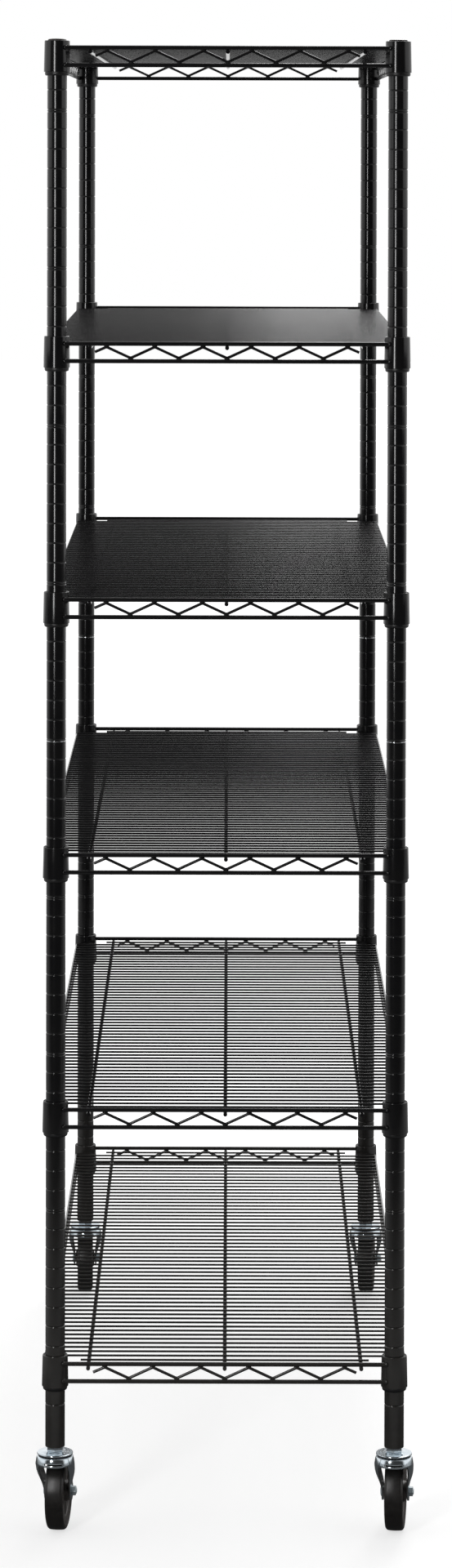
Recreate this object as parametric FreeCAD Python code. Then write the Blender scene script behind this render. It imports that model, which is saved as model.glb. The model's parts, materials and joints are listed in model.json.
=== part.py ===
import FreeCAD, Part
import math
import os

# Six-tier wire shelving rack on four swivel casters. Millimetres, +Z up, floor at Z = 0.
# X runs along the narrow ends and Y along the long sides. The front is the narrow end at -Y.
# Shapes are drawn about the middle of the four posts and moved, on saving, so that the
# origin lies on the floor under the middle of the overall box.

# ---- driving dimensions ----
INCH = 25.4
NOMINAL_WIDTH = 18 * INCH
NOMINAL_LENGTH = 48 * INCH
POST_INSET = 9.0                       # post centre to nominal edge
POST_X = NOMINAL_WIDTH / 2 - POST_INSET
POST_Y = NOMINAL_LENGTH / 2 - POST_INSET

POST_R = INCH / 2
POST_WALL = 1.2
POST_BOTTOM = 118.0
POST_JOINT = 1035.0                    # where the upper half screws into the lower half
POST_TOP = 1939.0
POST_CHAMFER = 0.4
GROOVE_PITCH = INCH
GROOVE_FIRST = 174.1
GROOVE_DEPTH = 0.6
GROOVE_MOUTH = 2.2
GROOVE_FLOOR = 1.0
MARK_EVERY = 8                         # every eighth groove is doubled as a height mark
MARK_START = 10
MARK_GAP = 3.0
FIT_GAP = 0.05                         # radial gap of pressed and turning fits

SHELF_FIRST = 228.4                    # height of the end top rim of the lowest shelf
SHELF_STEPS = [13 * INCH, 13 * INCH, 13 * INCH, 13 * INCH, 15 * INCH]

RIM_R = 2.8
RIM_OUT = 13.0                         # rim centre outboard of the post centres
RIM_END = 10.6                         # rim stops this far short of the post centre
TRUSS_DEPTH = 22.5                     # top rim to bottom rim, centre to centre, at the ends
ZIGZAG_R = 1.9
ZIGZAG_PITCH = 62.0
ZIGZAG_BEND = 4.5
ZIGZAG_TAIL = 15.0                     # last half-bend beyond the outer top apex
WELD_SINK = 0.25                       # how deep welded wires sink into each other
DECK_R = 1.45
DECK_COUNT = 59
DECK_PITCH = 20.3
DECK_SHORT = 187.0                     # half length of the first and last deck wire
ROD_R = 2.6
ROD_X = 176.5
ROD_NUB = 3.0                          # rod end past the end rim centre

COLLAR_UP = 9.2                        # collar top above the end top rim
COLLAR_DOWN = 31.4                     # collar bottom below it
COLLAR_TOP_R = 16.3
COLLAR_BOTTOM_R = 17.2
COLLAR_WALL = 1.7
SLEEVE_UP = 8.5
SLEEVE_DOWN = 36.0
SLEEVE_LIP_R = 15.9
SLEEVE_SPLIT = 0.8
RIB_HEIGHT = 0.9                       # ring inside the sleeve that seats in a groove
RIB_DEPTH = 0.45

CAP_R = 11.9
CAP_RISE = 3.0
PLUG_LENGTH = 14.0
STUD_R = 5.0
STUD_REACH = 18.0
SOCKET_LENGTH = 40.0

WHEEL_R = 50.0
TYRE_HALF = 12.0
TYRE_CORNER = 4.5
TYRE_BORE = 36.0
HUB_BOSS = 14.4
HUB_WEB = 8.6
HUB_BOSS_R = 13.0
TRAIL = 34.0                           # axle behind the swivel axis
CASTER_TURNS = {"front_left": -6.0, "front_right": -6.0, "back_left": 2.0, "back_right": -4.0}

STEM_R = 6.0
STEM_REACH = 32.0
HEX_FLATS = 19.6
HEX_BOTTOM = 112.0
KINGPIN_R = 8.0
DISC_R = 23.3
DISC_BOTTOM = 108.6
DISC_TOP = 110.6
CROWN_TOP = 106.8
CROWN_PLATE = 2.2
CROWN_R = 24.5
SKIRT_R = 25.4
SKIRT_TOP = 101.4
SKIRT_BOTTOM = 96.0
SHEET = 2.4
SLOT_HALF = 12.3
SLOT_BOTTOM = 97.8
SLOT_TOP = 100.5
BALL_R = 1.9
BALL_RING = 20.2
BALL_COUNT = 28
RACE_GAP = 0.3
LEG_HALF = 17.8                        # outer face of each fork leg at the axle
LEG_EYE_R = 12.0
AXLE_R = 4.0
BUSH_R = 6.5
HEAD_R = 7.5
HEAD_EDGE = 0.6
HEAD_RISE = 2.0
NUT_FLATS = 11.0
NUT_HEIGHT = 5.0
BOLT_TAIL = 0.9
SEAT_R = 8.5                           # flat seat under the bolt head and the nut

CORNERS = {"front_left": (-1, -1), "front_right": (1, -1), "back_left": (-1, 1), "back_right": (1, 1)}
UP = FreeCAD.Vector(0, 0, 1)
ORIGIN = FreeCAD.Vector(0, 0, 0)


def vec(x, y, z):
    return FreeCAD.Vector(x, y, z)


def moved(shape, x, y, z):
    copy = shape.copy()
    copy.translate(vec(x, y, z))
    return copy


def polygon_face(points):
    return Part.Face(Part.makePolygon(points + points[:1]))


def turned_ring(profile):
    """Solid of revolution about Z from (radius, height) points."""
    return polygon_face([vec(r, 0, z) for r, z in profile]).revolve(ORIGIN, UP, 360)


def at_posts(shape):
    """One copy of a shape at each of the four post centres."""
    return [moved(shape, sx * POST_X, sy * POST_Y, 0) for sx, sy in CORNERS.values()]


def rod_between(start, end, radius):
    run = end.sub(start)
    return Part.makeCylinder(radius, run.Length, start, run)


def hexagon(across_flats, height, bottom):
    corner = across_flats / math.sqrt(3)
    turns = [math.radians(60 * k + 30) for k in range(6)]
    face = polygon_face([vec(corner * math.cos(t), corner * math.sin(t), bottom) for t in turns])
    return face.extrude(vec(0, 0, height))


# ---- posts ----
def groove_heights(bottom, top):
    """Grooves between two heights, with the doubled height marks."""
    heights = []
    for k in range(int((top - GROOVE_FIRST) / GROOVE_PITCH) + 1):
        z = GROOVE_FIRST + k * GROOVE_PITCH
        heights.append(z)
        if k % MARK_EVERY == MARK_START % MARK_EVERY:
            heights.append(z - MARK_GAP)
    edge = GROOVE_MOUTH
    return sorted(z for z in heights if bottom + edge < z < top - edge)


def post_tube(bottom, top):
    """Half a post: a tube with a ring groove every inch."""
    inner = POST_R - POST_WALL
    outline = [(inner, bottom), (POST_R - POST_CHAMFER, bottom), (POST_R, bottom + POST_CHAMFER)]
    for z in groove_heights(bottom, top):
        floor = POST_R - GROOVE_DEPTH
        outline += [(POST_R, z - GROOVE_MOUTH / 2), (floor, z - GROOVE_FLOOR / 2)]
        outline += [(floor, z + GROOVE_FLOOR / 2), (POST_R, z + GROOVE_MOUTH / 2)]
    outline += [(POST_R, top - POST_CHAMFER), (POST_R - POST_CHAMFER, top), (inner, top)]
    return turned_ring(outline)


def post_cap():
    """Push-in plastic plug with a low crowned head."""
    plug_r = POST_R - POST_WALL - FIT_GAP
    low = POST_TOP - PLUG_LENGTH
    return turned_ring([(0, low), (plug_r - 0.8, low), (plug_r, low + 0.8), (plug_r, POST_TOP),
                        (CAP_R, POST_TOP), (CAP_R, POST_TOP + 0.45 * CAP_RISE),
                        (CAP_R - 1.2, POST_TOP + 0.85 * CAP_RISE), (CAP_R - 3.5, POST_TOP + CAP_RISE),
                        (0, POST_TOP + CAP_RISE)])


def threaded_plug(bottom, top, bore):
    """Steel plug crimped inside a tube, bored through for a screw."""
    plug_r = POST_R - POST_WALL - FIT_GAP
    return turned_ring([(bore, bottom), (plug_r, bottom), (plug_r, top), (bore, top)])


def joint_stud():
    """Plug held in the upper half with a stud that screws down into the lower half."""
    plug_r = POST_R - POST_WALL - FIT_GAP
    return turned_ring([(0, POST_JOINT - STUD_REACH), (STUD_R - 1, POST_JOINT - STUD_REACH),
                        (STUD_R, POST_JOINT - STUD_REACH + 1), (STUD_R, POST_JOINT + 0.1),
                        (plug_r, POST_JOINT + 0.1), (plug_r, POST_JOINT + PLUG_LENGTH),
                        (0, POST_JOINT + PLUG_LENGTH)])


# ---- shelves, drawn with the centre of the end top rim at Z = 0 ----
def collar():
    inner_top = COLLAR_TOP_R - COLLAR_WALL
    inner_bottom = COLLAR_BOTTOM_R - COLLAR_WALL
    return turned_ring([(inner_bottom, -COLLAR_DOWN), (COLLAR_BOTTOM_R, -COLLAR_DOWN),
                        (COLLAR_TOP_R, COLLAR_UP - 0.6), (COLLAR_TOP_R - 0.6, COLLAR_UP),
                        (inner_top, COLLAR_UP)])


def collar_bore(z):
    """Inner radius of the tapered collar at a height."""
    share = (z + COLLAR_DOWN) / (COLLAR_UP + COLLAR_DOWN)
    return COLLAR_BOTTOM_R - COLLAR_WALL + share * (COLLAR_TOP_R - COLLAR_BOTTOM_R)


def sleeve_halves():
    """Tapered split sleeve that wedges the collar on the post."""
    bore = POST_R + FIT_GAP
    rib_z = GROOVE_FIRST + 2 * GROOVE_PITCH - SHELF_FIRST
    lip_top = -COLLAR_DOWN - 0.3
    ring = turned_ring([(bore, -SLEEVE_DOWN), (SLEEVE_LIP_R - 1.2, -SLEEVE_DOWN),
                        (SLEEVE_LIP_R, -SLEEVE_DOWN + 1.4), (SLEEVE_LIP_R, lip_top),
                        (collar_bore(lip_top) - FIT_GAP, lip_top),
                        (collar_bore(SLEEVE_UP) - FIT_GAP, SLEEVE_UP), (bore, SLEEVE_UP),
                        (bore, rib_z + RIB_HEIGHT), (bore - RIB_DEPTH, rib_z + RIB_HEIGHT / 2),
                        (bore - RIB_DEPTH, rib_z - RIB_HEIGHT / 2), (bore, rib_z - RIB_HEIGHT)])
    reach = 2 * COLLAR_BOTTOM_R
    block = Part.makeBox(reach, reach, 2 * reach, vec(-reach / 2, SLEEVE_SPLIT / 2, -1.5 * reach))
    half = ring.common(block)
    return [half, half.mirror(ORIGIN, vec(0, 1, 0))]


def bent_wire(points, radius, bend):
    """Round wire along straight runs joined by tangent arcs."""
    edges = []
    start = points[0]
    for before, corner, after in zip(points, points[1:], points[2:]):
        inward = before.sub(corner).normalize()
        outward = after.sub(corner).normalize()
        half = math.acos(max(-1.0, min(1.0, inward.dot(outward)))) / 2
        setback = bend / math.tan(half)
        middle = (inward + outward).normalize() * (bend / math.sin(half) - bend)
        first = corner + inward * setback
        last = corner + outward * setback
        edges.append(Part.LineSegment(start, first).toShape())
        edges.append(Part.Arc(first, corner + middle, last).toShape())
        start = last
    edges.append(Part.LineSegment(start, points[-1]).toShape())
    path = Part.Wire(edges)
    ring = Part.Wire(Part.Circle(points[0], points[1].sub(points[0]), radius).toShape())
    return path.makePipeShell([ring], True, False)


def zigzag(top, bottom, apexes):
    """Zigzag wire along X between two rims, with half-bends at both ends."""
    high = top - RIM_R - ZIGZAG_R + WELD_SINK
    low = bottom + RIM_R + ZIGZAG_R - WELD_SINK
    slope = (high - low) / (ZIGZAG_PITCH / 2)
    rise = ZIGZAG_BEND * (math.hypot(slope, 1) - 1)      # sharp corners stand off the round bends
    first = -(apexes - 1) * ZIGZAG_PITCH / 4
    points = []
    for k in range(apexes):
        on_top = k % 2 == 0
        points.append(vec(first + k * ZIGZAG_PITCH / 2, 0, high + rise if on_top else low - rise))
    fall = slope * ZIGZAG_TAIL
    points.insert(0, vec(first - ZIGZAG_TAIL, 0, high + rise - fall))
    points.append(vec(-first + ZIGZAG_TAIL, 0, high + rise - fall))
    return bent_wire(points, ZIGZAG_R, ZIGZAG_BEND)


def truss(half_length, top, bottom, apexes):
    """Top rim, bottom rim and zigzag welded together, along X in the plane Y = 0."""
    upper = rod_between(vec(-half_length, 0, top), vec(half_length, 0, top), RIM_R)
    lower = rod_between(vec(-half_length, 0, bottom), vec(half_length, 0, bottom), RIM_R)
    return upper.fuse([lower, zigzag(top, bottom, apexes)])


def shelf_frame():
    """Two end trusses and two side trusses, coped where they meet the collars."""
    side_top = deck_wire_height() - DECK_R - RIM_R
    end_apexes = 2 * int((2 * POST_X - 2 * ZIGZAG_PITCH) / ZIGZAG_PITCH) + 1
    side_apexes = 2 * int((2 * POST_Y - ZIGZAG_PITCH) / ZIGZAG_PITCH) + 1
    end = truss(POST_X - RIM_END, 0, -TRUSS_DEPTH, end_apexes)
    side = truss(POST_Y - RIM_END, side_top, -TRUSS_DEPTH, side_apexes)
    side.rotate(ORIGIN, UP, 90)
    reach_x = POST_X + RIM_OUT
    reach_y = POST_Y + RIM_OUT
    sides = [moved(end, 0, -reach_y, 0), moved(end, 0, reach_y, 0),
             moved(side, -reach_x, 0, 0), moved(side, reach_x, 0, 0)]
    room = turned_ring([(0, -COLLAR_DOWN), (COLLAR_BOTTOM_R + FIT_GAP, -COLLAR_DOWN),
                        (COLLAR_TOP_R + FIT_GAP, COLLAR_UP), (0, COLLAR_UP)])
    return [side.cut(at_posts(room)) for side in sides]


def deck_wire_height():
    """Cross wires lie level with the end top rims and sink a little into the rods."""
    return -RIM_R + DECK_R - WELD_SINK


def shelf_deck():
    """Cross wires welded on three long rods, as one mat."""
    wire_z = deck_wire_height()
    rod_z = -RIM_R - ROD_R
    rod_reach = POST_Y + RIM_OUT + ROD_NUB
    rods = [rod_between(vec(x, -rod_reach, rod_z), vec(x, rod_reach, rod_z), ROD_R)
            for x in (-ROD_X, 0, ROD_X)]
    wires = []
    for k in range(DECK_COUNT):
        y = (k - (DECK_COUNT - 1) / 2) * DECK_PITCH
        reach = DECK_SHORT if k in (0, DECK_COUNT - 1) else POST_X + RIM_OUT
        wires.append(rod_between(vec(-reach, y, wire_z), vec(reach, y, wire_z), DECK_R))
    return [rods[0].fuse(rods[1:] + wires)]


# ---- casters, drawn with the swivel axis on Z and the wheel trailing towards +Y ----
def caster_stem():
    """Screwed stem, hex shoulder and the kingpin riveted under the fork."""
    shank = turned_ring([(0, HEX_BOTTOM), (STEM_R - FIT_GAP, HEX_BOTTOM),
                         (STEM_R - FIT_GAP, POST_BOTTOM + STEM_REACH - 1),
                         (STEM_R - 1, POST_BOTTOM + STEM_REACH), (0, POST_BOTTOM + STEM_REACH)])
    shoulder = hexagon(HEX_FLATS, POST_BOTTOM - HEX_BOTTOM, HEX_BOTTOM)
    plate_under = CROWN_TOP - CROWN_PLATE
    rivet_r = KINGPIN_R + 2.5
    pin = turned_ring([(0, plate_under - 2.4), (rivet_r - 1, plate_under - 2.4),
                       (rivet_r, plate_under - 1.4), (rivet_r, plate_under - RACE_GAP),
                       (KINGPIN_R, plate_under - RACE_GAP), (KINGPIN_R, HEX_BOTTOM), (0, HEX_BOTTOM)])
    return shoulder.fuse([shank, pin])


def race(height):
    """Ring channel that the swivel balls run in."""
    return Part.makeTorus(BALL_RING, BALL_R + RACE_GAP, vec(0, 0, height))


def ball_height():
    return (CROWN_TOP + DISC_BOTTOM) / 2


def swivel_disc():
    """Dished upper race plate under the hex shoulder."""
    bore = KINGPIN_R + FIT_GAP
    disc = turned_ring([(bore, DISC_BOTTOM), (DISC_R - 0.5, DISC_BOTTOM), (DISC_R, DISC_BOTTOM + 0.5),
                        (DISC_R, DISC_TOP - 0.6), (DISC_R - 0.6, DISC_TOP),
                        (HEX_FLATS / 2 + 2, HEX_BOTTOM), (bore, HEX_BOTTOM)])
    return disc.cut(race(ball_height()))


def swivel_balls():
    """Balls between the upper race plate and the fork crown."""
    balls = []
    for k in range(BALL_COUNT):
        turn = 2 * math.pi * k / BALL_COUNT
        place = vec(BALL_RING * math.cos(turn), BALL_RING * math.sin(turn), ball_height())
        balls.append(Part.makeSphere(BALL_R, place))
    return balls


def leg_section(z, outer, middle, half_width, sag):
    """Cross-section of the right leg: a curved strip across Y."""
    inner = outer - SHEET
    front = middle - half_width
    back = middle + half_width
    outside = Part.Arc(vec(outer - sag, front, z), vec(outer, middle, z), vec(outer - sag, back, z))
    inside = Part.Arc(vec(inner - sag, back, z), vec(inner, middle, z), vec(inner - sag, front, z))
    to_inner = Part.LineSegment(vec(outer - sag, back, z), vec(inner - sag, back, z))
    to_outer = Part.LineSegment(vec(inner - sag, front, z), vec(outer - sag, front, z))
    return Part.Wire([outside.toShape(), to_inner.toShape(), inside.toShape(), to_outer.toShape()])


def fork_leg():
    """Right leg: wraps the crown at the top and flattens down to the axle eye."""
    sections = [leg_section(103.0, 24.9, 1.0, 15.5, 5.4),
                leg_section(92.0, 25.1, 3.5, 16.0, 5.2),
                leg_section(82.0, 24.2, 9.0, 15.5, 4.0),
                leg_section(70.0, 20.8, 18.0, 14.2, 2.4),
                leg_section(60.0, 18.5, 27.5, 12.8, 0.8),
                leg_section(WHEEL_R, LEG_HALF, TRAIL, LEG_EYE_R, 0.1)]
    upper = Part.makeLoft(sections, True, False)
    thick = SHEET
    eye_start = vec(LEG_HALF - thick, TRAIL, WHEEL_R)
    eye = Part.makeCylinder(LEG_EYE_R, thick, eye_start, vec(1, 0, 0))
    return upper.fuse(eye)


def fork():
    """Pressed crown with a slotted skirt and two legs."""
    bore = KINGPIN_R + FIT_GAP
    plate_under = CROWN_TOP - CROWN_PLATE
    crown = turned_ring([(bore, plate_under), (CROWN_R - SHEET, plate_under),
                         (CROWN_R - SHEET, SKIRT_TOP), (SKIRT_R - SHEET, SKIRT_TOP - 0.8),
                         (SKIRT_R - SHEET, SKIRT_BOTTOM), (SKIRT_R, SKIRT_BOTTOM), (SKIRT_R, SKIRT_TOP),
                         (CROWN_R, SKIRT_TOP + 0.8), (CROWN_R, CROWN_TOP - 0.8),
                         (CROWN_R - 0.8, CROWN_TOP), (bore, CROWN_TOP)])
    slot = Part.makeBox(2 * SLOT_HALF, 2 * SKIRT_R, SLOT_TOP - SLOT_BOTTOM,
                        vec(-SLOT_HALF, -2 * SKIRT_R, SLOT_BOTTOM))
    wheel_room = Part.makeBox(30, 2 * SKIRT_R, plate_under, vec(-15, 6, 0))
    crown = crown.cut(race(ball_height())).cut(slot).cut(wheel_room)
    right = fork_leg()
    left = right.mirror(ORIGIN, vec(1, 0, 0))
    body = crown.fuse([right, left])
    eye_hole = Part.makeCylinder(AXLE_R + FIT_GAP, 4 * LEG_HALF,
                                 vec(-2 * LEG_HALF, TRAIL, WHEEL_R), vec(1, 0, 0))
    seats = [Part.makeCylinder(SEAT_R, SHEET, vec(side * LEG_HALF, TRAIL, WHEEL_R), vec(side, 0, 0))
             for side in (-1, 1)]
    return body.cut([eye_hole] + seats)


def on_axle(shape):
    """Turns a shape drawn about Z so that it lies along X through the axle."""
    copy = shape.copy()
    copy.rotate(ORIGIN, vec(0, 1, 0), 90)
    return moved(copy, 0, TRAIL, WHEEL_R)


def tyre():
    """Round-shouldered tread with dished side walls."""
    half = TYRE_HALF
    corner = TYRE_CORNER
    crown_r = WHEEL_R - 0.4
    bend = math.sqrt(0.5)
    low = Part.Arc(vec(WHEEL_R - corner - 0.4, 0, -half),
                   vec(crown_r - corner * (1 - bend), 0, -half + corner * (1 - bend)),
                   vec(crown_r, 0, -half + corner))
    tread = Part.Arc(vec(crown_r, 0, -half + corner), vec(WHEEL_R, 0, 0), vec(crown_r, 0, half - corner))
    high = Part.Arc(vec(crown_r, 0, half - corner),
                    vec(crown_r - corner * (1 - bend), 0, half - corner * (1 - bend)),
                    vec(WHEEL_R - corner - 0.4, 0, half))
    wall = [vec(WHEEL_R - corner - 0.4, 0, half), vec(TYRE_BORE, 0, half - 1.5),
            vec(TYRE_BORE, 0, -half + 1.5), vec(WHEEL_R - corner - 0.4, 0, -half)]
    edges = [low.toShape(), tread.toShape(), high.toShape()]
    edges += [Part.LineSegment(a, b).toShape() for a, b in zip(wall, wall[1:])]
    return on_axle(Part.Face(Part.Wire(edges)).revolve(ORIGIN, UP, 360))


def hub():
    """Moulded wheel centre: rim, web and a boss on the bush."""
    rim = TYRE_BORE - FIT_GAP
    half = TYRE_HALF - 1.5
    bore = BUSH_R + FIT_GAP
    right_half = [(bore, 0), (bore, HUB_BOSS), (HUB_BOSS_R - 2, HUB_BOSS), (HUB_BOSS_R, HUB_BOSS - 2),
                  (HUB_BOSS_R + 1.5, HUB_WEB), (rim - 5, HUB_WEB), (rim - 3, half - 0.4), (rim, half)]
    left_half = [(r, -z) for r, z in reversed(right_half[1:])]
    return on_axle(turned_ring(right_half + left_half))


def bush():
    """Steel tube clamped between the legs, which the hub turns on."""
    reach = LEG_HALF - SHEET - 0.02
    bore = AXLE_R + FIT_GAP
    return on_axle(turned_ring([(bore, -reach), (BUSH_R, -reach), (BUSH_R, reach), (bore, reach)]))


def axle():
    """Axle bolt with a low round head, and its hex nut."""
    seat = LEG_HALF + 0.02
    shank = Part.makeCylinder(AXLE_R, 2 * seat + NUT_HEIGHT + BOLT_TAIL, vec(0, 0, -seat))
    head = turned_ring([(0, -seat), (HEAD_R, -seat), (HEAD_R, -seat - HEAD_EDGE),
                        (HEAD_R - 2.2, -seat - HEAD_RISE), (0, -seat - HEAD_RISE)])
    bolt = shank.fuse(head)
    nut = hexagon(NUT_FLATS, NUT_HEIGHT, seat)
    nut = nut.cut(Part.makeCylinder(AXLE_R + FIT_GAP, 2 * NUT_HEIGHT, vec(0, 0, seat - 1)))
    return [on_axle(bolt), on_axle(nut)]


def at_corner(shape, corner):
    """Turns a caster piece to its resting direction and puts it under its post."""
    sx, sy = CORNERS[corner]
    copy = shape.copy()
    copy.rotate(ORIGIN, UP, CASTER_TURNS[corner])
    return moved(copy, sx * POST_X, sy * POST_Y, 0)


# ---- assembly ----
def build_nodes():
    nodes = {}
    lower = post_tube(POST_BOTTOM, POST_JOINT)
    upper = post_tube(POST_JOINT, POST_TOP)
    for corner, (sx, sy) in CORNERS.items():
        nodes["lower_post_" + corner] = [moved(lower, sx * POST_X, sy * POST_Y, 0)]
        nodes["upper_post_" + corner] = [moved(upper, sx * POST_X, sy * POST_Y, 0)]
    nodes["post_caps"] = at_posts(post_cap())
    nodes["post_joint_studs"] = at_posts(joint_stud())
    joint_nut = threaded_plug(POST_JOINT - PLUG_LENGTH, POST_JOINT - 0.1, STUD_R + FIT_GAP)
    nodes["post_joint_nuts"] = at_posts(joint_nut)
    socket = threaded_plug(POST_BOTTOM + 0.1, POST_BOTTOM + SOCKET_LENGTH, STEM_R)
    nodes["caster_sockets"] = at_posts(socket)

    frame = shelf_frame()
    deck = shelf_deck()
    collars = at_posts(collar())
    sleeves = [piece for half in sleeve_halves() for piece in at_posts(half)]
    height = SHELF_FIRST
    for tier, step in enumerate(SHELF_STEPS + [0.0], start=1):
        for name, pieces in (("collars", collars), ("frame", frame), ("deck", deck),
                             ("sleeves", sleeves)):
            nodes["shelf_%d_%s" % (tier, name)] = [moved(p, 0, 0, height) for p in pieces]
        height += step

    nodes["caster_stems"] = at_posts(caster_stem())
    nodes["swivel_discs"] = at_posts(swivel_disc())
    nodes["swivel_balls"] = [ball for piece in swivel_balls() for ball in at_posts(piece)]
    caster = {"fork": [fork()], "tyre": [tyre()], "hub": [hub()], "bush": [bush()], "axle": axle()}
    for corner in CORNERS:
        for name, pieces in caster.items():
            nodes[name + "_" + corner] = [at_corner(p, corner) for p in pieces]
    return nodes


def plan_middle(nodes):
    """Middle of the overall box: casters reach further out than anything else."""
    reach = [p for name in nodes if name.startswith(("fork", "tyre")) for p in nodes[name]]
    box = Part.makeCompound(reach).optimalBoundingBox()
    return box.Center.x, box.Center.y


def main():
    os.makedirs("parts", exist_ok=True)
    nodes = build_nodes()
    middle_x, middle_y = plan_middle(nodes)
    print("origin moved to", round(middle_x, 3), round(middle_y, 3))
    for name, pieces in nodes.items():
        shape = pieces[0] if len(pieces) == 1 else Part.makeCompound(pieces)
        shape = moved(shape, -middle_x, -middle_y, 0)
        shape.exportStep("parts/%s.step" % name)


main()
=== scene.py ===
import json
import math

import bmesh
import bpy
from mathutils import Matrix, Vector


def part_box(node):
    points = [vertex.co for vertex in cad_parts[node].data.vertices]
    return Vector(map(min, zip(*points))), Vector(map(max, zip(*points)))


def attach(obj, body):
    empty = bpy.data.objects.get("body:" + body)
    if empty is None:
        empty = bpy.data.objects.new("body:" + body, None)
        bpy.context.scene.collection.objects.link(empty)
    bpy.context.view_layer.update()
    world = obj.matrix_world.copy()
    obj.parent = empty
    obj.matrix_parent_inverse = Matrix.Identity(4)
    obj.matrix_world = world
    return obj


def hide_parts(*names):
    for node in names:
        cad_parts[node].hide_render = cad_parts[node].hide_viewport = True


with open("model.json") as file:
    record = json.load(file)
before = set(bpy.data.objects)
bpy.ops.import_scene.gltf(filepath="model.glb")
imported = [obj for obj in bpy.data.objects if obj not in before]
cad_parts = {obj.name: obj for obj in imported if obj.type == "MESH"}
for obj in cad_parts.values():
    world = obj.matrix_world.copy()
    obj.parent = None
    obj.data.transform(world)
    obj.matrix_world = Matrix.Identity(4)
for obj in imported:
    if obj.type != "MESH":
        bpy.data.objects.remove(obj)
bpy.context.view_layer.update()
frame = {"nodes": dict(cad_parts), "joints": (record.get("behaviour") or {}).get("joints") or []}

# ---- driving sizes of posts, shelves and ball rings, in metres ----
MM = 0.001
INCH = 0.0254
CORNERS = ("front_left", "front_right", "back_left", "back_right")
TIERS = range(1, 7)

POST_INNER = 11.5 * MM
POST_CHAMFER = 0.45 * MM
GROOVE_FIRST = 174.1 * MM
GROOVE_DEPTH = 0.62 * MM
GROOVE_HALF_MOUTH = 1.15 * MM
GROOVES_PER_MARK = 8                   # every eighth groove is doubled
MARK_STEP = 2                          # which groove of the eight carries the mark
MARK_GAP = 3.0 * MM
GROOVE_POINTS = 9
END_POINTS = 3
POST_SIDES = 44

RIM_R = 2.8 * MM
RIM_OUT = 13.0 * MM
RIM_END = 10.6 * MM
TRUSS_DEPTH = 22.5 * MM
SIDE_DROP = 5.85 * MM
ZIGZAG_R = 1.9 * MM
ZIGZAG_PITCH = 62.0 * MM
ZIGZAG_BEND = 4.5 * MM
ZIGZAG_TAIL = 15.0 * MM
ZIGZAG_SINK = 0.9                      # how far the bends reach into the rims, in wire radii
DECK_R = 1.45 * MM
DECK_COUNT = 59
DECK_PITCH = 20.3 * MM
DECK_SHORT = 187.0 * MM
ROD_R = 2.6 * MM
ROD_X = 176.5 * MM
ROD_NUB = 3.0 * MM
ROD_SINK = 0.15 * MM                   # how far the rods are welded into the cross wires
WELD_R = 1.9 * MM
RIM_SIDES, ZIGZAG_SIDES, DECK_SIDES, ROD_SIDES = 22, 14, 12, 18

BALL_R = 1.9 * MM
BALL_RING = 20.2 * MM
BALL_COUNT = 28
BALL_HEIGHT = 107.7 * MM


def middle(node):
    low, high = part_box(node)
    return (low + high) / 2


POSTS = {corner: middle("lower_post_" + corner).xy for corner in CORNERS}
PLAN = Vector((0.0, (POSTS["front_left"].y + POSTS["back_left"].y) / 2, 0.0))
POST_X = POSTS["front_right"].x
POST_Y = POSTS["back_left"].y - PLAN.y
POST_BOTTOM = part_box("lower_post_front_left")[0].z
POST_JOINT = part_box("lower_post_front_left")[1].z
POST_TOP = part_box("upper_post_front_left")[1].z
POST_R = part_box("lower_post_front_left")[1].x - POSTS["front_left"].x
SHELVES = {tier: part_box("shelf_%d_frame" % tier)[1].z - RIM_R for tier in TIERS}


# ---- node graphs written as expressions ----
class Socket:
    """One output of a node. Arithmetic on it adds Math nodes to the same graph."""

    def __init__(self, graph, node, output=0):
        self.graph = graph
        self.node = node
        self.source = node.outputs[output]

    def __getitem__(self, output):
        return Socket(self.graph, self.node, output)

    def maths(self, operation, other=0.0, flipped=False):
        pair = (other, self) if flipped else (self, other)
        return self.graph.add("ShaderNodeMath", {"operation": operation}, {0: pair[0], 1: pair[1]})

    def __add__(self, other):
        return self.maths("ADD", other)

    def __radd__(self, other):
        return self.maths("ADD", other, True)

    def __sub__(self, other):
        return self.maths("SUBTRACT", other)

    def __rsub__(self, other):
        return self.maths("SUBTRACT", other, True)

    def __mul__(self, other):
        return self.maths("MULTIPLY", other)

    def __truediv__(self, other):
        return self.maths("DIVIDE", other)

    def __gt__(self, other):
        return self.maths("GREATER_THAN", other)

    def __lt__(self, other):
        return self.maths("LESS_THAN", other)

    def floor(self):
        return self.maths("FLOOR")

    def clamped(self):
        return self.graph.add("ShaderNodeClamp", {}, {"Value": self})


class Graph:
    """A node tree under construction."""

    def __init__(self, tree):
        self.tree = tree
        self.tree.nodes.clear()

    def add(self, kind, settings=None, inputs=None):
        node = self.tree.nodes.new(kind)
        for name, value in (settings or {}).items():
            if name == "stops":
                self.set_stops(node.color_ramp.elements, value)
            else:
                setattr(node, name, value)
        for name, value in (inputs or {}).items():
            for item in value if isinstance(value, list) else [value]:
                if isinstance(item, Socket):
                    self.tree.links.new(item.source, node.inputs[name])
                else:
                    node.inputs[name].default_value = item
        return Socket(self, node) if node.outputs else node

    @staticmethod
    def set_stops(elements, stops):
        while len(elements) < len(stops):
            elements.new(1.0)
        for element, (place, colour) in zip(elements, stops):
            element.position = place
            element.color = colour


# ---- geometry trees ----
SOCKET_TYPES = {float: "NodeSocketFloat", int: "NodeSocketInt", "material": "NodeSocketMaterial"}


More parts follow.
